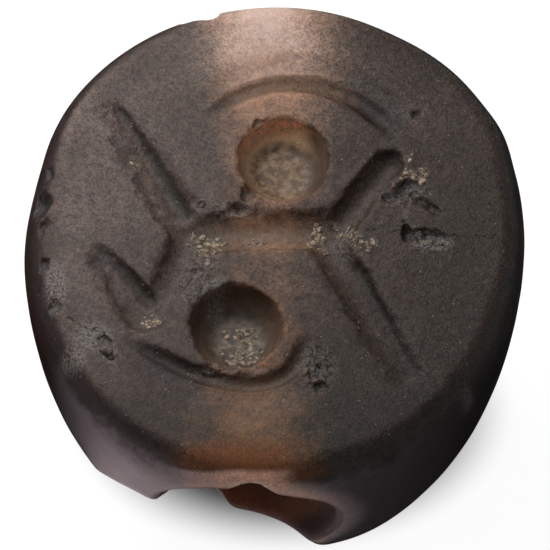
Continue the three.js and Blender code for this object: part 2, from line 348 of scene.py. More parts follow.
# Patches of the face that the tool tore up: place across and along, then half sizes
torn_patches = (
    ((-3.3, -2.4), (1.3, 1.6)), ((1.8, -6.3), (0.9, 1.5)), ((5.6, 2.0), (1.3, 1.0)),
    ((-1.6, 1.2), (1.7, 0.45)), ((-1.9, -6.5), (2.2, 0.4)), ((6.4, -0.2), (1.2, 0.8)),
    ((2.9, -0.4), (0.9, 0.8)),
)


def torn_amount(p):
    amount = np.zeros(len(p))
    for (x, y), (wide, long) in torn_patches:
        off = np.hypot((p[:, 0] - x) / wide, (p[:, 1] - y) / long)
        amount = np.maximum(amount, 1 - smooth_step(0.45, 1.1, off))
    return amount * smooth_step(-1.0, -0.4, p[:, 2])


def oval_field(p, middle, halves, lean=0.0, turn=0.0):
    """Distance from an oval ball, roughly, leaned about X or turned about Z."""
    q = p - np.array(middle)
    if lean:
        c, s = math.cos(lean), math.sin(lean)
        q = np.stack([q[:, 0], q[:, 1] * c + q[:, 2] * s, q[:, 2] * c - q[:, 1] * s], axis=1)
    if turn:
        c, s = math.cos(turn), math.sin(turn)
        q = np.stack([q[:, 0] * c + q[:, 1] * s, q[:, 1] * c - q[:, 0] * s, q[:, 2]], axis=1)
    return (lengths(q / np.array(halves)) - 1) * min(halves)


def break_field(p):
    opened = oval_field(p, *lip_scar, break_lean)
    for middle, halves in hoop_scars:
        opened = smooth_min(opened, oval_field(p, middle, halves, break_lean), 0.35)
    opened = smooth_min(opened, oval_field(p, *lip_nick), 0.8)
    return opened + 0.012 * lattice_noise(p, 0.9, 5)


def nick_field(p):
    scars = [oval_field(p, middle, halves) for middle, halves in nicks]
    scars += [oval_field(p, m, h, turn=math.radians(turn)) for m, h, turn in pits]
    scar = np.minimum.reduce(scars)
    return scar + 0.14 * lattice_noise(p, 0.42, 8) + 0.05 * lattice_noise(p, 0.17, 9)


# %% [markdown]
# All the pieces come together in one field. The width of each blend says how worn that edge is:
# the flank and the bore's mouths are soft, the breaks and strokes crisper, the nicks sharp.
# %% The whole stone
far = 5.0
# How far under the face the cuts and nicks can reach, and where along the bore the breaks end
carved_skin, nicked_skin, broken_end = 2.6, 3.6, -2.0
wear = {"flank": 1.2, "bore": 0.5, "strokes": 0.22, "nicks": 0.08, "breaks": 0.35}
# The whole surface lies this far in, so that its sway doesn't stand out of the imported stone
inset = 0.03


def where(rows, p, shape, elsewhere=far):
    """Work a shape's field out only for the rows of points that can be near it."""
    field = np.full(len(p), elsewhere)
    field[rows] = shape(p[rows])
    return field


def engraving_field(p):
    field = straight_field(p)
    for place in hollows:
        field = smooth_min(field, hollow_field(p, place), 0.06)
    edge = smooth_step(-0.45, -0.05, p[:, 2])
    ragged = (0.02 + 0.05 * edge) * lattice_noise(p, 0.45, 3)
    ragged = ragged + (0.01 + 0.03 * edge) * lattice_noise(p, 0.2, 4)
    return smooth_min(field + ragged, curved_field(p) + 0.2 * ragged, 0.06)


def tearing(p):
    """How deep the flakes of the torn patches go into the face."""
    flakes = 0.12 * np.abs(lattice_noise(p, 0.42, 6)) + 0.03 * lattice_noise(p, 0.17, 7)
    return torn_amount(p) * np.clip(flakes, 0, None)


def stone_field(p):
    field = dome_field(p)
    carved, nicked = p[:, 2] > -carved_skin, p[:, 2] > -nicked_skin
    field = smooth_max(field, -oval_field(p, *flank_wear, break_lean), wear["flank"])
    field = smooth_max(field, -bore_field(p), wear["bore"])
    field = smooth_max(field, -where(carved, p, engraving_field), wear["strokes"])
    field = smooth_max(field, -where(nicked, p, nick_field), wear["nicks"])
    field = smooth_max(field, -where(p[:, 1] < broken_end, p, break_field), wear["breaks"])
    sway = 0.025 * lattice_noise(p, 4.0, 1) + 0.01 * lattice_noise(p, 1.1, 2)
    return field + sway + inset + where(carved, p, tearing, 0.0)


# %% [markdown]
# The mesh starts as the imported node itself. A voxel remesh gives it even squares, and every corner
# is then pulled onto the field by Newton steps: the field's value over its slope says how far.
# Evening out the corners between the pulls keeps the squares well shaped.
# %% Pulling a mesh onto the field
nudge = 0.01
longest_step = 0.2


def slope(p):
    """The field's value and its gradient, by small differences."""
    here = stone_field(p)
    steps = [(stone_field(p + nudge * np.eye(3)[axis]) - here) / nudge for axis in range(3)]
    return here, np.stack(steps, axis=1)


def pull(p, rounds):
    for _ in range(rounds):
        here, gradient = slope(p)
        steepness = np.clip(lengths(gradient), 0.3, None)
        step = np.clip(here / steepness, -longest_step, longest_step)
        p = p - (step / steepness)[:, None] * gradient
    return p


def even_out(p, edges, share):
    """Move each corner part of the way to the middle of its neighbours."""
    total = np.zeros_like(p)
    count = np.zeros(len(p))
    for here, there in ((0, 1), (1, 0)):
        np.add.at(total, edges[:, here], p[edges[:, there]])
        np.add.at(count, edges[:, here], 1)
    return p + share * (total / count[:, None] - p)


def settle(mesh, rounds):
    """Even out the corners and pull them back, a few times over."""
    p = np.empty(len(mesh.vertices) * 3)
    mesh.vertices.foreach_get("co", p)
    p = p.reshape(-1, 3)
    edges = np.empty(len(mesh.edges) * 2, dtype=np.int32)
    mesh.edges.foreach_get("vertices", edges)
    edges = edges.reshape(-1, 2)
    for _ in range(rounds):
        p = pull(even_out(p, edges, 0.5), 1)
    p = pull(p, 2)
    mesh.vertices.foreach_set("co", p.ravel())
    mesh.update()


# %% [markdown]
# Fine work needs small squares, but small squares everywhere would make a heavy mesh. So only the
# squares near a groove, a nick or a broken edge are split, once in a wide band and once more
# close to the sharp edges.
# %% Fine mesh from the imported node
voxel = 0.27
wide_band, narrow_band = 0.9, 0.16
settling_rounds = 3


def fine_start():
    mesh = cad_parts["seal_stone"].data.copy()
    shape = bmesh.new()
    shape.from_mesh(mesh)
    bmesh.ops.remove_doubles(shape, verts=shape.verts, dist=1e-7)
    for corner in shape.verts:
        corner.co = corner.co / MM - Vector(face_middle)
    shape.to_mesh(mesh)
    shape.free()
    piece = bpy.data.objects.new("fine_start", mesh)
    scene.collection.objects.link(piece)
    voxels = piece.modifiers.new("voxels", "REMESH")
    voxels.mode = "VOXEL"
    voxels.voxel_size = voxel
    bpy.context.view_layer.update()
    graph = bpy.context.evaluated_depsgraph_get()
    fine = bpy.data.meshes.new_from_object(piece.evaluated_get(graph))
    bpy.data.objects.remove(piece)
    return fine


def detail_distance(p):
    """How far a place is from the nearest carved or broken edge."""
    dome = dome_field(p)
    carved = np.minimum(engraving_field(p), nick_field(p))
    opened = np.minimum(break_field(p), bore_field(p) + 0.25)
    torn = np.where(torn_amount(p) > 0.3, 0.12, far)
    return np.minimum(torn, np.minimum(np.hypot(dome, carved), np.hypot(dome, opened)))


def split_near(mesh, reach):
    shape = bmesh.new()
    shape.from_mesh(mesh)
    faces = list(shape.faces)
    middles = np.array([face.calc_center_median() for face in faces])
    near = detail_distance(middles) < reach
    edges = {edge for face, close in zip(faces, near) if close for edge in face.edges}
    bmesh.ops.subdivide_edges(
        shape, edges=list(edges), cuts=1, use_grid_fill=True, use_single_edge=True
    )
    bmesh.ops.triangulate(shape, faces=[face for face in shape.faces if len(face.verts) > 4])
    shape.to_mesh(mesh)
    shape.free()


stone_mesh = fine_start()
settle(stone_mesh, settling_rounds)
for band in (wide_band, narrow_band):
    split_near(stone_mesh, band)
    settle(stone_mesh, settling_rounds)
stone_mesh.calc_loop_triangles()
corner_count, triangle_count = len(stone_mesh.vertices), len(stone_mesh.loop_triangles)
print("fine mesh:", corner_count, "corners,", triangle_count, "triangles")


# %% [markdown]
# The stone's colour depends on its shape. It has a painted glow where the wall is thin, is brown
# in hollows and along deep edges, partly dirt and partly painted shade, and is pale where edges
# are worn. The field knows all of that, so each is worked out once for every corner and stored as
# an attribute, which the material then reads.
# %% Attributes from the field
thickest_glow = 4.0
far_glow_x, far_glow_width = -0.45, 1.95


def outward(p):
    here, gradient = slope(p)
    return gradient / lengths(gradient)[:, None]


def belongs(field, width=0.22):
    """1 on the surface that this cut made, and 0 away from it."""
    return 1 - smooth_step(0.4 * width, width, np.abs(field))


# Patches of crust: place across and along, then half sizes
crust_patches = (
    ((-3.0, -0.45), (0.8, 1.15)), ((2.3, 0.0), (1.35, 0.7)), ((-5.3, -4.15), (0.5, 0.42)),
    ((6.1, 2.95), (0.55, 1.05)), ((-1.45, -4.95), (1.0, 0.95)), ((-0.7, -0.3), (0.55, 0.35)),
    ((-6.0, 3.8), (0.3, 0.75)), ((4.0, -0.3), (0.45, 0.6)),
)


# Bruised patches that catch the light
pale_patches = (
    ((-7.75, -4.95), (0.9, 0.75)), ((6.9, -0.5), (0.9, 0.3)), ((-9.35, -2.5), (0.55, 1.3)),
    ((8.31, -7.3), (0.3, 0.35)), ((-2.6, -2.9), (0.5, 0.9)), ((-8.6, -6.0), (0.6, 0.6)),
)


def patches(p, places):
    """1 in the middle of each patch on the face, and 0 outside them."""
    amount = np.zeros(len(p))
    for (x, y), (wide, long) in places:
        off = np.hypot((p[:, 0] - x) / wide, (p[:, 1] - y) / long)
        amount = np.maximum(amount, 1 - smooth_step(0.5, 1.25, off))
    return amount * (p[:, 2] > -2.4)


def dark_lines(p):
    """The brow, the tail and the three deep edges, painted dark along their length as shade and old
    dirt.
    """
    lines = [arc_field(p, brow, brow_shares), path_field(p, *tail)]
    for start, end in shaded_edges:
        along = np.array(end) - start
        off = p[:, :2] - start
        share = np.clip(off @ along / (along @ along), 0, 1)
        lines.append(np.clip(lengths(off - share[:, None] * along) - shaded_half_width, 0, None))
    return np.minimum.reduce(lines)


def over_bore(p):
    """1 along the middle of the bore's roof, and less to each side."""
    width = np.interp(p[:, 1], (-11, 10), (3.5, 2.7))
    return np.exp(-(((p[:, 0] + 0.6) / width) ** 2))


def far_lip(p):
    """The thin lip over the far mouth, palest where the light enters."""
    width = np.interp(p[:, 1], (6.0, 10.0), (1.6, 1.0)) * far_glow_width
    across = np.exp(-(((p[:, 0] - far_glow_x) / width) ** 2))
    return across * smooth_step(6.0, 10.6, p[:, 1]) * smooth_step(-5.0, -2.5, p[:, 2])


def in_hollow(p, place):
    """The wall and floor of one drilled hollow."""
    near = smooth_step(1.15, 1.0, np.hypot(p[:, 0] - place[0], p[:, 1] - place[1]) / hollow_radius)
    return near * smooth_step(-0.04, -0.3, p[:, 2]) * (p[:, 2] > -2.0)


corners = np.empty(len(stone_mesh.vertices) * 3)
stone_mesh.vertices.foreach_get("co", corners)
corners = corners.reshape(-1, 3)
# The face was ground flat, so no flake stands above it
corners[:, 2] = np.minimum(corners[:, 2], 0)
normals = outward(corners)
skin = corners[:, 2] > -carved_skin
spotty = np.clip(0.5 + 1.8 * lattice_noise(corners, 0.5, 11), 0, 1)
looks = {
    "thin": np.clip(1 - bore_field(corners) / thickest_glow, 0, 1),
    "hollow": np.clip(1 - stone_field(corners + 0.5 * normals) / 0.5, 0, 1),
    "edge": np.clip(1 + stone_field(corners - 0.3 * normals) / 0.3, 0, 1),
    "bore": belongs(bore_field(corners), 0.5),
    "broken": belongs(where(corners[:, 1] < broken_end, corners, break_field)),
    "nicked": belongs(where(corners[:, 2] > -nicked_skin, corners, nick_field), 0.12),
    "crust": patches(corners, crust_patches) * spotty,
    "over_bore": over_bore(corners),
    "pale": patches(corners, pale_patches),
    "dome": belongs(dome_field(corners), 0.3) * smooth_step(-0.04, -0.26, corners[:, 2]),
    "sunk": smooth_step(-0.03, -0.18, corners[:, 2]) * belongs(where(skin, corners, dark_lines)),
    "torn": torn_amount(corners),
    "far_lip": far_lip(corners),
    "upper_hollow": in_hollow(corners, hollows[0]),
    "lower_hollow": in_hollow(corners, hollows[1]),
}
looks["dust"] = (0.3 + 2 * looks["edge"]) * (corners[:, 2] > -1.8)
for name, values in looks.items():
    attribute = stone_mesh.attributes.new(name, "FLOAT", "POINT")
    attribute.data.foreach_set("value", values.astype(np.float32))
    print(name, "from", round(float(values.min()), 2), "to", round(float(values.max()), 2))

# %% [markdown]
# The finished mesh goes back to metres and to the frame's place. It stands for the imported node
# and rides on the one body.
# %% Place the stone
corners = (corners + face_middle) * MM
stone_mesh.vertices.foreach_set("co", corners.ravel())
stone_mesh.polygons.foreach_set("use_smooth", [True] * len(stone_mesh.polygons))
stone_mesh.update()
stone_mesh.name = "worn_stone"
stone = bpy.data.objects.new("worn_stone", stone_mesh)
scene.collection.objects.link(stone)
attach(stone, "root")
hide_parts("seal_stone")


# %% [markdown]
# Materials are built from nodes. These helpers add a node, set it up and link it in one call, so
# each material below reads like a recipe. They all add to the one tree that lies on the bench.
# %% Node helpers
bench = SimpleNamespace(tree=None)


def new_material(name):
    """A new material, with its node tree empty and on the bench."""
    material = bpy.data.materials.new(name)
    material.use_nodes = True
    bench.tree = material.node_tree
    bench.tree.nodes.clear()
    return material


def put(kind, inputs=None, **settings):
    """Add a node, set its properties, and give each input a value or a link."""
    node = bench.tree.nodes.new(kind)
    for name, value in settings.items():
        setattr(node, name, value)
    for key, value in (inputs or {}).items():
        if isinstance(value, bpy.types.NodeSocket):
            bench.tree.links.new(value, node.inputs[key])
        else:
            node.inputs[key].default_value = value
    return node


def maths(operation, a, b=0.0, clamp=False):
    node = put("ShaderNodeMath", {0: a, 1: b}, operation=operation, use_clamp=clamp)
    return node.outputs[0]


def times(product, *others):
    for other in others:
        product = maths("MULTIPLY", product, other)
    return product


def plus(total, *others):
    for other in others:
        total = maths("ADD", total, other)
    return total


def minus(whole, *others):
    for other in others:
        whole = maths("SUBTRACT", whole, other)
    return whole


def remap(value, low, high, to_low=0.0, to_high=1.0):
    inputs = {"Value": value, "From Min": low, "From Max": high, "To Min": to_low, "To Max": to_high}
    return put("ShaderNodeMapRange", inputs, interpolation_type="SMOOTHSTEP").outputs[0]


def blend(amount, a, b, mode="MIX"):
    """Mix two colours. A colour is three numbers or a link."""
    a, b = ((*c, 1.0) if isinstance(c, tuple) else c for c in (a, b))
    node = put("ShaderNodeMix", {0: amount, 6: a, 7: b}, data_type="RGBA", blend_type=mode)
    return node.outputs[2]


def paint(colour, over, *masks):
    """Lay a second colour over the first, where the product of the masks says so."""
    return blend(times(*masks), colour, over)


def fade(value, low, high, a, b):
    """One colour below low and the other above high, or the other way round."""
    return blend(remap(value, low, high), a, b)


def noise(place, size, detail=2.0, roughness=0.5, distortion=0.0):
    """Noise from 0 to 1 with lumps of about this size in millimetres."""
    inputs = {"Vector": place, "Scale": 1 / size, "Detail": detail}
    inputs.update({"Roughness": roughness, "Distortion": distortion})
    return put("ShaderNodeTexNoise", inputs).outputs["Fac"]


def read(name):
    return put("ShaderNodeAttribute", attribute_name=name).outputs["Fac"]


def ramp(value, stops):
    """A run of colours, each at its place from 0 to 1."""
    node = put("ShaderNodeValToRGB", {"Fac": value})
    elements = node.color_ramp.elements
    for i, (position, colour) in enumerate(stops):
        element = elements[i] if i < 2 else elements.new(position)
        element.position = position
        element.color = (*colour, 1.0)
    return node.outputs["Color"]


def millimetres():
    """Object coordinates in millimetres, measured from the middle of the engraved face."""
    place = put("ShaderNodeTexCoord").outputs["Object"]
    inputs = {"Vector": place, "Location": tuple(-face_middle), "Scale": (1 / MM,) * 3}
    return put("ShaderNodeMapping", inputs).outputs["Vector"]


# %% [markdown]
# A crack in polished stone is a thin dark line that wanders a little. One node group draws one: it
# bends the place with noise, measures the distance to a straight line, and puts out a mask. It is
# built once and placed again for every crack, with its own ends.
# %% The hairline crack group
def hairline_group():
    group = bench.tree = bpy.data.node_groups.new("hairline_crack", "ShaderNodeTree")
    for name, kind in (("Place", "Vector"), ("Start", "Vector"), ("End", "Vector"),
                       ("Width", "Float"), ("Wander", "Float")):
        group.interface.new_socket(name, in_out="INPUT", socket_type="NodeSocket" + kind)
    group.interface.new_socket("Line", in_out="OUTPUT", socket_type="NodeSocketFloat")
    given = put("NodeGroupInput").outputs

    def vectors(operation, a, b):
        other = "Scale" if operation == "SCALE" else 1
        return put("ShaderNodeVectorMath", {0: a, other: b}, operation=operation)

    wobble = put("ShaderNodeTexNoise", {"Vector": given["Place"], "Scale": 1.6, "Detail": 3.0})
    centred = vectors("SUBTRACT", wobble.outputs["Color"], (0.5, 0.5, 0.5)).outputs[0]
    bent = vectors("ADD", given["Place"], vectors("SCALE", centred, given["Wander"]).outputs[0])
    along = vectors("SUBTRACT", given["End"], given["Start"]).outputs[0]
    off = vectors("SUBTRACT", bent.outputs[0], given["Start"]).outputs[0]
    reach = vectors("DOT_PRODUCT", off, along).outputs["Value"]
    whole = vectors("DOT_PRODUCT", along, along).outputs["Value"]
    share = maths("DIVIDE", reach, whole, clamp=True)
    foot = vectors("SCALE", along, share).outputs[0]
    distance = vectors("DISTANCE", off, foot).outputs["Value"]
    line = remap(maths("DIVIDE", distance, given["Width"]), 0.3, 1.0, 1.0, 0.0)
    put("NodeGroupOutput", {"Line": line})
    return group


hairline = hairline_group()
print("group", hairline.name, "with", len(hairline.nodes), "nodes")


def crack_lines(place, cracks, width):
    """One mask for several cracks, each a start and an end on the face."""
    mask = 0.0
    for start, end in cracks:
        inputs = {"Place": place, "Start": (*start, 0.0), "End": (*end, 0.0)}
        inputs.update({"Width": width, "Wander": 0.9})
        node = put("ShaderNodeGroup", inputs, node_tree=hairline)
        mask = maths("MAXIMUM", node.outputs["Line"], mask)
    return mask


# %% [markdown]
# The agate is nearly black at the right and hazy grey-brown at the upper left, partly its own
# haze and partly painted shade. Where the wall over the bore is thin, a painted glow stands for
# the light that comes through: amber at the near end, and almost white at the far lip. Grooves
# and hollows are painted brown, partly dirt and partly painted shade, with beige on top of it.
# The ground face is satin, the dome polished.
#
# Each function below lays one layer over the colour it is given. What they know about the point
# that is being shaded, such as at.x, at.thin or at.bright, is gathered first.
# %% What the layers share
cracks = (((3.7, 0.14), (9.6, -0.1)), ((5.8, -6.1), (7.4, -5.7)), ((-10.4, -3.4), (-7.6, -4.7)))
crack_width = 0.06
fleck_cell = 0.14
earth_spot = (-1.45, -4.75, -1.35)
bump_height = 0.045 * MM


def shared_inputs():
    """The place, noises, attributes and runs that more than one layer reads."""
    place = millimetres()
    parts = put("ShaderNodeSeparateXYZ", {0: place}).outputs
    names = ("thin", "torn", "sunk", "dome", "bore", "over_bore")
    at = SimpleNamespace(**{name: read(name) for name in names})
    at.place, at.x, at.y, at.z = place, parts[0], parts[1], parts[2]
    at.fine = noise(place, 0.1, 2.0, 0.6)
    at.middling = noise(place, 0.32, 3.0, 0.6)
    at.patchy = noise(place, 1.1, 3.0, 0.6, 0.5)
    at.cloudy = noise(place, 3.5, 3.0, 0.55, 0.4)
    at.on_face = remap(at.z, -0.9, -0.1)
    at.low = remap(at.y, -5.0, -9.0)
    at.far_end = remap(at.y, -11.0, 10.0)
    return at


def add_light_masks(at):
    """Where painted light comes through: the roof of the bore, the far lip and the near rim."""
    reach = plus(times(at.far_end, 0.3), 0.85)
    at.lit = plus(times(at.thin, reach), remap(at.patchy, 0.3, 0.7, -0.05, 0.05))
    above = remap(at.z, -0.9, -0.35)
    at.roof = times(remap(at.lit, 0.26, 0.62, 0.0, 0.95), above, at.over_bore)
    uncut = minus(1.0, times(at.sunk, 0.75))
    cloud = remap(noise(at.place, 1.6, 3.0), 0.3, 0.7, 0.78, 1.2)
    bright = times(read("far_lip"), cloud)
    at.bright = maths("MULTIPLY", bright, uncut, clamp=True)
    near = times(remap(at.y, -9.3, -10.6), remap(at.lit, 0.3, 0.55))
    at.near_end = times(near, remap(at.over_bore, 0.1, 0.5))


def add_wear_masks(at):
    """Pale flecks, each in a small cell of its own, and hairline cracks with gaps in them."""
    cells = put("ShaderNodeTexVoronoi", {"Vector": at.place, "Scale": 1 / fleck_cell}).outputs
    chance = put("ShaderNodeSeparateColor", {0: cells["Color"]}).outputs[0]
    rare = plus(chance, remap(at.middling, 0.35, 0.65, -0.06, 0.04))
    flecks = times(remap(cells["Distance"], 0.42, 0.15), remap(rare, 0.93, 1.0))
    at.flecks = times(flecks, remap(at.z, -2.2, -0.2, 0.1, 0.8))
    line = times(crack_lines(at.place, cracks, crack_width), at.on_face)
    at.line = times(line, remap(at.patchy, 0.35, 0.55))


# %% Face, rim and dome
def haze_and_shade_colour(at):
    """Haze and painted shade: lighter from the lower right to the left, fading near both ends,
    with painted shade on the left rim.
    """
    haze_and_shade = plus(times(at.x, -0.034), times(at.y, 0.018))
    both_ends = remap(maths("ABSOLUTE", at.y), 5.5, 10.0, 0.0, 0.28)
    # Painted shade on the left rim, where the rolled edge turns from the light
    haze_and_shade = minus(haze_and_shade, both_ends, remap(at.x, -8.9, -10.3, 0.0, 0.6))
    haze_and_shade = plus(haze_and_shade, times(at.cloudy, 0.6), times(at.patchy, 0.35), 0.075)
    return ramp(haze_and_shade, (
        (0.0, (0.018, 0.010, 0.006)), (0.35, (0.038, 0.022, 0.015)), (0.55, (0.058, 0.037, 0.028)),
        (0.75, (0.085, 0.058, 0.047)), (1.0, (0.130, 0.093, 0.079)),
    ))


def flank_colour(at):
    """Dark, with a painted lavender reflection low at the left, a painted dusky sheen low at
    the right, and dark streaks.
    """
    flank = fade(at.x, -8.0, 2.0, (0.036, 0.014, 0.012), (0.036, 0.029, 0.031))
    # Painted sheen: the polished flank's reflections, low at the right and low at the left
    dusky_sheen = times(at.low, remap(at.x, 10.0, 2.5))
    flank = blend(dusky_sheen, flank, (0.115, 0.092, 0.098))
    lavender_sheen = times(at.low, remap(at.x, 2.0, -4.0))
    flank = blend(lavender_sheen, flank, (0.215, 0.172, 0.182))
    stretched = put("ShaderNodeMapping", {0: at.place, "Scale": (0.5, 1.6, 2.2)}).outputs[0]
    streaks = remap(noise(stretched, 0.9, 4.0, 0.65), 0.5, 0.72)
    return paint(flank, (0.030, 0.016, 0.017), streaks, 0.35)


def banded(at, colour):
    """Faint agate bands, on the side of the dome that is turned away from the break."""
    bent = plus(times(at.cloudy, 11.0), at.patchy)
    layers = plus(times(at.z, 1.3), times(at.x, 0.4))
    bands = remap(maths("SINE", plus(layers, bent)), -0.2, 0.95)
    bands = times(bands, remap(at.y, -6.0, -1.0, 0.0, 0.3))
    return blend(bands, colour, (0.085, 0.058, 0.050))


def rim_layer(at, colour):
    """The rolled rim is a dark maroon band, and the dome under it is darker than the face."""
    height_here = plus(at.z, remap(at.patchy, 0.3, 0.7, -0.25, 0.25))
    rim = fade(at.x, -6.0, 2.0, (0.024, 0.011, 0.010), (0.028, 0.019, 0.014))
    flank = banded(at, flank_colour(at))
    return blend(at.dome, colour, fade(height_here, -0.6, -1.5, rim, flank))


# %% Painted light through thin stone
def painted_glow_layer(at, colour):
    """A painted glow of light through thin stone: amber on the roof of the bore, almost white
    at the far lip, orange at the near rim.
    """
    amber_glow = blend(at.far_end, (0.21, 0.105, 0.048), (0.38, 0.21, 0.13))
    colour = blend(at.roof, colour, amber_glow)
    colour = blend(at.bright, colour, (0.60, 0.44, 0.37))
    glowing = times(at.near_end, remap(at.z, -1.0, -0.5, 0.0, 0.9))
    return blend(glowing, colour, (0.15, 0.050, 0.012))


def lip_glow_layer(at, colour):
    """A painted glow where light comes through the thin near lip: pink on the lip, and at its
    right a mauve glow that runs on down, fading.
    """
    left_later = plus(at.z, remap(at.x, -1.2, -4.5, 0.0, 0.55))
    lip = times(at.near_end, remap(left_later, -0.13, -0.36), remap(at.x, 1.2, -0.2))
    pink_glow = fade(at.x, -4.5, -1.4, (0.50, 0.36, 0.36), (0.95, 0.60, 0.46))
    colour = blend(times(lip, 0.9), colour, pink_glow)
    side = times(at.dome, at.low, remap(at.thin, 0.58, 0.92))
    side = times(side, remap(at.x, -1.0, 0.5, 0.0, 0.9), remap(at.z, -0.55, -0.95))
    mauve_glow = fade(at.x, 0.6, 3.2, (0.95, 0.62, 0.50), (0.40, 0.31, 0.31))
    return blend(side, colour, mauve_glow)


# %% Bore, breaks, grooves, dirt and painted shade
def bore_layer(at, colour):
    """Inside the bore, a painted amber-orange glow of light through the stone, black-brown at its
    near mouth and its left, and the bore's own brown at the far end.
    """
    # Painted light: the bore is lit up amber beyond its own brown
    bore_glow = remap(noise(at.place, 1.8, 2.0), 0.3, 0.7)
    bore_glow = blend(bore_glow, (0.36, 0.165, 0.10), (0.62, 0.275, 0.15))
    bore_glow = fade(at.y, -8.0, -10.6, bore_glow, (0.075, 0.050, 0.048))
    bore_glow = blend(remap(at.x, 0.4, -1.2, 0.0, 0.45), bore_glow, (0.05, 0.024, 0.016))
    bore_glow = fade(at.y, 2.0, 9.0, bore_glow, (0.19, 0.105, 0.070))
    return blend(at.bore, colour, bore_glow)


def break_layer(at, colour):
    """Broken stone is grey and mottled. The deep edges of the strokes are painted dark, as shade
    and old dirt, and amber where the painted glow comes through.
    """
    broken = blend(at.patchy, (0.035, 0.022, 0.022), (0.10, 0.075, 0.078))
    colour = paint(colour, broken, read("broken"), 0.8)
    groove_shade = fade(at.lit, 0.3, 0.62, (0.018, 0.011, 0.008), (0.115, 0.060, 0.032))
    return blend(times(at.sunk, 0.8), colour, groove_shade)


def hollow_layer(at, colour):
    """The upper hollow's top wall has a painted amber glow of light through the stone, over a
    mustard floor, darker at the right, and the lower one holds pale earth.
    """
    on_floor = remap(at.z, -1.05, -1.35)
    # Painted glow on the top wall, where the stone over the hollow is thin
    wall = fade(at.y, 2.4, 4.9, (0.165, 0.092, 0.054), (0.72, 0.47, 0.28))
    speckle = remap(at.middling, 0.4, 0.62)
    mustard = blend(speckle, (0.118, 0.068, 0.038), (0.255, 0.160, 0.092))
    upper = blend(on_floor, wall, mustard)
    upper = blend(remap(at.x, 1.0, 1.9, 0.0, 0.85), upper, (0.036, 0.022, 0.014))
    colour = paint(colour, upper, read("upper_hollow"), 0.92)
    speckle = remap(at.middling, 0.38, 0.68)
    beige = blend(speckle, (0.060, 0.039, 0.024), (0.23, 0.160, 0.105))
    off = put("ShaderNodeVectorMath", {0: at.place, 1: earth_spot}, operation="DISTANCE")
    spot = remap(off.outputs["Value"], 0.5, 1.4, 1.0, 0.2)
    beige = blend(spot, (0.045, 0.028, 0.018), beige)
    lower = blend(on_floor, (0.105, 0.062, 0.040), beige)
    return paint(colour, lower, read("lower_hollow"), 0.92)


def dirt_and_shade_layer(at, colour):
    """Brown in every shallow hollow, partly dirt and partly painted shade, and beige crust on top
    of it in patches.
    """
    # Painted shade and dirt darken each place by how closed in it is
    shade_and_dirt = times(remap(read("hollow"), 0.15, 0.6), remap(at.z, -0.95, -0.75))
    colour = paint(colour, (0.024, 0.014, 0.009), shade_and_dirt, 0.45)
    crusty = times(read("crust"), remap(at.middling, 0.42, 0.6))
    return paint(colour, (0.19, 0.145, 0.10), crusty, 0.75)


# %% Grain and wear, with painted sparkle and shade
def grain_layer(at, colour):
    """A fine mottle of the grain, stronger at the right, where it also stands in for the sparkle
    of the sheen as a painted highlight, and calm where the painted glow comes through.
    """
    coarse = remap(at.middling, 0.3, 0.7, -0.3, 0.3)
    grain = plus(remap(at.fine, 0.3, 0.7, -0.4, 0.5), coarse)
    smooth = times(maths("MAXIMUM", at.bright, times(at.roof, 0.8)), 0.8)
    calm = maths("SUBTRACT", remap(at.z, -0.4, -1.0, 1.0, 0.3), smooth, clamp=True)
    # Stronger at the right as painted sparkle of the sheen
    grain = times(grain, remap(at.x, -4.0, 6.0, 1.0, 1.3), calm)
    grain = plus(grain, 1.0)
    shade = put("ShaderNodeCombineColor", {0: grain, 1: grain, 2: grain}).outputs[0]
    return blend(1.0, colour, shade, "MULTIPLY")


def wear_layer(at, colour):
    """Flecks, bruises, painted shade deep in the nicks, rubbed edges, torn patches and cracks."""
    colour = blend(at.flecks, colour, (0.26, 0.22, 0.19))
    pale = times(read("pale"), remap(at.fine, 0.35, 0.6))
    colour = paint(colour, (0.26, 0.235, 0.215), pale, 0.6)
    # Painted shade: the nicks and pits go near black as they deepen, away from the far end
    nick_shade = times(read("nicked"), remap(at.z, -0.15, -0.45), remap(at.y, 9.6, 8.8))
    colour = paint(colour, (0.008, 0.006, 0.005), nick_shade, 0.7)
    rubbed = times(remap(read("edge"), 0.3, 0.75), remap(at.middling, 0.4, 0.6))
    colour = paint(colour, (0.19, 0.16, 0.14), rubbed, at.on_face, 0.4)
    flaked = times(at.torn, remap(at.fine, 0.46, 0.6))
    colour = paint(colour, (0.15, 0.14, 0.125), flaked, 0.5)
    return paint(colour, (0.008, 0.006, 0.005), at.line, 0.75)


# %% The finish, and the whole material
def finish_roughness(at):
    """Satin on the ground face, polished from the rim down, and dull inside the bore."""
    on_dome = remap(at.dome, 0.2, 1.0, 0.52, 0.4)
    rough = plus(on_dome, remap(at.z, -1.0, -2.4, 0.0, -0.12), times(at.middling, 0.1))
    dull = maths("MAXIMUM", at.near_end, at.bore)
    return maths("ADD", rough, times(dull, 0.25), clamp=True)


def finish_height(at):
    """Crisp grit, soft folds and raised flecks on the face, cut through by the cracks."""
    grit = noise(at.place, 0.075, 2.0, 0.7)
    folds = maths("ABSOLUTE", minus(noise(at.place, 0.45, 3.0, 0.65, 0.3), 0.5))
    folds = times(remap(folds, 0.0, 0.05), remap(at.x, -3.0, 6.0, 0.1, 0.25))
    height = plus(times(grit, 0.6), times(at.middling, 0.4), folds)
    height = plus(height, times(at.flecks, 0.4))
    height = times(height, remap(at.z, -0.4, -1.2, 1.0, 0.1))
    return minus(height, times(at.line, 1.5))


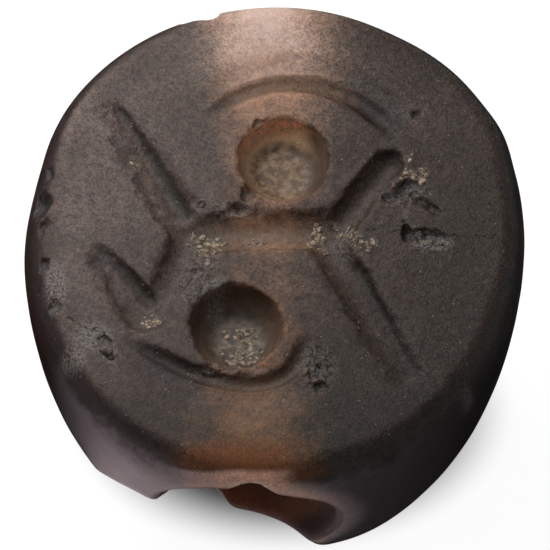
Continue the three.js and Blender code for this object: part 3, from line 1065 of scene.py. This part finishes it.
def agate():
    material = new_material("agate")
    at = shared_inputs()
    add_light_masks(at)
    add_wear_masks(at)
    colour = rim_layer(at, haze_and_shade_colour(at))
    colour = lip_glow_layer(at, painted_glow_layer(at, colour))
    colour = break_layer(at, bore_layer(at, colour))
    colour = dirt_and_shade_layer(at, hollow_layer(at, colour))
    colour = wear_layer(at, grain_layer(at, colour))
    inputs = {"Strength": 1.0, "Distance": bump_height, "Height": finish_height(at)}
    bump = put("ShaderNodeBump", inputs)
    shader = put("ShaderNodeBsdfPrincipled", {
        "Base Color": colour, "Roughness": finish_roughness(at), "Normal": bump.outputs[0],
        "IOR": 1.54, "Specular IOR Level": 0.32, "Subsurface Weight": 0.6,
        "Subsurface Radius": (1.5, 0.55, 0.25), "Subsurface Scale": 1 * MM,
    })
    put("ShaderNodeOutputMaterial", {0: shader.outputs[0]})
    return material


stone.data.materials.clear()
stone.data.materials.append(agate())
print("agate has", len(bpy.data.materials["agate"].node_tree.nodes), "nodes")

# %% [markdown]
# Old earth sits in the strokes as beige grains, and dust lies loose on the stone. Both are a
# scatter: Geometry Nodes puts points on the stone's own surface, thick where an attribute says so,
# and sets a small flattened ball on each. A fixed seed gives the same grains on every run.


# %% The scatter tree
def scatter_tree():
    tree = bench.tree = bpy.data.node_groups.new("scatter", "GeometryNodeTree")
    for name, kind in (("Surface", "Geometry"), ("Thick where", "Float"), ("Density", "Float"),
                       ("Smallest", "Float"), ("Largest", "Float"), ("Seed", "Int"),
                       ("Finish", "Material")):
        tree.interface.new_socket(name, in_out="INPUT", socket_type="NodeSocket" + kind)
    tree.interface.new_socket("Grains", in_out="OUTPUT", socket_type="NodeSocketGeometry")
    given = put("NodeGroupInput").outputs
    density = times(given["Thick where"], given["Density"])
    inputs = {"Mesh": given["Surface"], "Density": density, "Seed": given["Seed"]}
    points = put("GeometryNodeDistributePointsOnFaces", inputs).outputs
    ball = put("GeometryNodeMeshIcoSphere", {"Radius": 0.5, "Subdivisions": 1}).outputs["Mesh"]
    # The two float inputs and the float output of a random value are numbers 2, 3 and 1
    size = put("FunctionNodeRandomValue", {2: given["Smallest"], 3: given["Largest"]}).outputs[1]
    squeeze = put("FunctionNodeRandomValue", {2: 0.5, 3: 1.1, "Seed": 7}).outputs[1]
    halves = {0: size, 1: times(size, squeeze), 2: times(size, 0.5)}
    scale = put("ShaderNodeCombineXYZ", halves).outputs[0]
    inputs = {"Points": points["Points"], "Rotation": points["Rotation"]}
    inputs.update({"Instance": ball, "Scale": scale})
    grains = put("GeometryNodeInstanceOnPoints", inputs).outputs["Instances"]
    real = put("GeometryNodeRealizeInstances", {"Geometry": grains}).outputs["Geometry"]
    inputs = {"Geometry": real, "Material": given["Finish"]}
    dressed = put("GeometryNodeSetMaterial", inputs).outputs[0]
    put("NodeGroupOutput", {"Grains": dressed})
    return tree


scatter = scatter_tree()
print("scatter tree has", len(scatter.nodes), "nodes")


# %% Grains of earth and specks of dust
def crumb_material(name, dark, pale, lump):
    """A dry, rough finish whose colour changes from grain to grain."""
    material = new_material(name)
    mottle = noise(millimetres(), lump, 3.0, 0.7)
    colour = fade(mottle, 0.38, 0.62, dark, pale)
    bump = put("ShaderNodeBump", {"Strength": 0.6, "Distance": 0.01 * MM, "Height": mottle})
    rough = remap(mottle, 0.3, 0.7, 0.75, 0.95)
    inputs = {"Base Color": colour, "Roughness": rough, "Normal": bump.outputs[0]}
    shader = put("ShaderNodeBsdfPrincipled", inputs)
    put("ShaderNodeOutputMaterial", {0: shader.outputs[0]})
    return material


def sprinkle(name, attribute, finish, density, smallest, largest, seed):
    """Scatter grains over the stone: density to a square millimetre, sizes in millimetres."""
    carrier = bpy.data.objects.new(name + "_carrier", stone_mesh)
    scene.collection.objects.link(carrier)
    modifier = carrier.modifiers.new("scatter", "NODES")
    modifier.node_group = scatter
    items = [item for item in scatter.interface.items_tree if item.in_out == "INPUT"]
    sockets = {item.name: item.identifier for item in items}
    modifier[sockets["Thick where"] + "_use_attribute"] = True
    modifier[sockets["Thick where"] + "_attribute_name"] = attribute
    modifier[sockets["Density"]] = density / MM**2
    modifier[sockets["Smallest"]] = smallest * MM
    modifier[sockets["Largest"]] = largest * MM
    modifier[sockets["Seed"]] = seed
    modifier[sockets["Finish"]] = finish
    bpy.context.view_layer.update()
    graph = bpy.context.evaluated_depsgraph_get()
    mesh = bpy.data.meshes.new_from_object(carrier.evaluated_get(graph))
    bpy.data.objects.remove(carrier)
    # Nothing stands higher than the face
    for corner in mesh.vertices:
        corner.co.z = min(corner.co.z, stone_height * MM)
    mesh.name = name
    piece = bpy.data.objects.new(name, mesh)
    scene.collection.objects.link(piece)
    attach(piece, "root")
    print(name, "has", len(mesh.polygons) // 20, "grains")


earth = crumb_material("earth", (0.07, 0.045, 0.03), (0.40, 0.30, 0.21), 0.22)
lint = crumb_material("dust", (0.30, 0.27, 0.24), (0.80, 0.77, 0.72), 0.3)
sprinkle("earth_grains", "crust", earth, 50.0, 0.05, 0.3, 3)
sprinkle("dust_specks", "dust", lint, 0.6, 0.02, 0.05, 5)


# %% [markdown]
# A white floor with a painted soft shadow round the stone, one big soft light behind and above,
# and a pale world. The soft light stands where the camera sees its reflection in the ground face,
# and that sheen shows the engraving. A black board, a photographer's flag, lies just over the
# floor. The camera doesn't see it, but the polished dome mirrors it, so the flank stays dark, with
# a mauve glow at the low left.
# %% Floor, lights and camera
shade_middle = (0.5 * MM, 0, 0)
shade_size = (9.0 * MM, 6.2 * MM, 1)
floor_half = 1.5
flag_half, flag_height = 60 * MM, 0.3 * MM
glow_heading = math.radians(237)


def level_square(name, half, height, finish):
    """A flat square piece of the set, face up."""
    mesh = bpy.data.meshes.new(name)
    places = [(x * half, y * half, height) for x, y in ((-1, -1), (1, -1), (1, 1), (-1, 1))]
    mesh.from_pydata(places, [], [(0, 1, 2, 3)])
    mesh.materials.append(finish)
    piece = bpy.data.objects.new(name, mesh)
    scene.collection.objects.link(piece)
    return piece


def floor_material():
    """White to the camera, with a painted soft oval shadow round the stone, and dimmer as a lamp."""
    material = new_material("white_floor")
    path = put("ShaderNodeLightPath").outputs
    seen = maths("MAXIMUM", path["Is Camera Ray"], path["Is Glossy Ray"])
    seen = maths("MAXIMUM", seen, path["Is Transmission Ray"])
    place = put("ShaderNodeTexCoord").outputs["Object"]
    inputs = {"Vector": place, "Location": shade_middle, "Scale": shade_size}
    oval = put("ShaderNodeMapping", inputs, vector_type="TEXTURE").outputs["Vector"]
    off = put("ShaderNodeVectorMath", {0: oval}, operation="LENGTH").outputs["Value"]
    # The painted shadow: the floor's glow fades in a soft oval round the stone
    lift = remap(off, 0.66, 1.16, 0.02, 0.95)
    grey = minus(0.8, times(seen, 0.6))
    matt = put("ShaderNodeBsdfPrincipled", {
        "Base Color": put("ShaderNodeCombineColor", {0: grey, 1: grey, 2: grey}).outputs[0],
        "Roughness": 1.0, "Specular IOR Level": 0.0,
        "Emission Color": (1, 1, 1, 1), "Emission Strength": times(seen, lift),
    })
    put("ShaderNodeOutputMaterial", {0: matt.outputs[0]})
    return material


def flag_material():
    """Black all round, with a soft mauve glow towards the low left."""
    material = new_material("black_board")
    place = put("ShaderNodeTexCoord").outputs["Object"]
    away = put("ShaderNodeVectorMath", {0: place}, operation="NORMALIZE").outputs[0]
    heading = (math.cos(glow_heading), math.sin(glow_heading), 0.0)
    facing = put("ShaderNodeVectorMath", {0: away, 1: heading}, operation="DOT_PRODUCT")
    matt = put("ShaderNodeBsdfPrincipled", {
        "Base Color": (0.01, 0.01, 0.01, 1), "Roughness": 1.0, "Specular IOR Level": 0.0,
        "Emission Color": (0.95, 0.74, 0.79, 1),
        "Emission Strength": remap(facing.outputs["Value"], 0.78, 0.985),
    })
    put("ShaderNodeOutputMaterial", {0: matt.outputs[0]})
    return material


floor = level_square("floor", floor_half, 0.0, floor_material())
flag = level_square("flag", flag_half, flag_height, flag_material())
flag.visible_camera = flag.visible_diffuse = flag.visible_shadow = False

world = bpy.data.worlds.new("pale_room")
scene.world = world
world.use_nodes = True
background = world.node_tree.nodes["Background"]
background.inputs["Color"].default_value = (0.95, 0.97, 1.0, 1)
background.inputs["Strength"].default_value = 0.16

centre = Vector(face_middle) * MM


def soft_light(name, direction, distance, size, power):
    lamp = bpy.data.lights.new(name, "AREA")
    lamp.shape = "DISK"
    lamp.size = size
    lamp.energy = power
    holder = bpy.data.objects.new(name, lamp)
    holder.location = centre + Vector(direction).normalized() * distance
    holder.rotation_euler = (holder.location - centre).to_track_quat("Z", "Y").to_euler()
    scene.collection.objects.link(holder)
    return holder


soft_light("soft_box", direction=(-0.35, 0.55, 0.76), distance=0.075, size=0.06, power=0.06)

view_lean = math.radians(26.5)
view_distance = 0.420
side_aim, up_aim = 0.043 * MM, -1.81 * MM
lens_data = bpy.data.cameras.new("camera")
lens_data.sensor_width = 36
lens_data.lens = 639.6
lens_data.clip_start = 0.01
camera = bpy.data.objects.new("camera", lens_data)
toward = Vector((0, -math.sin(view_lean), math.cos(view_lean)))
upward = Vector((0, math.cos(view_lean), math.sin(view_lean)))
camera.location = centre + view_distance * toward + up_aim * upward + Vector((side_aim, 0, 0))
camera.rotation_euler = (view_lean, 0, 0)
scene.collection.objects.link(camera)
scene.camera = camera
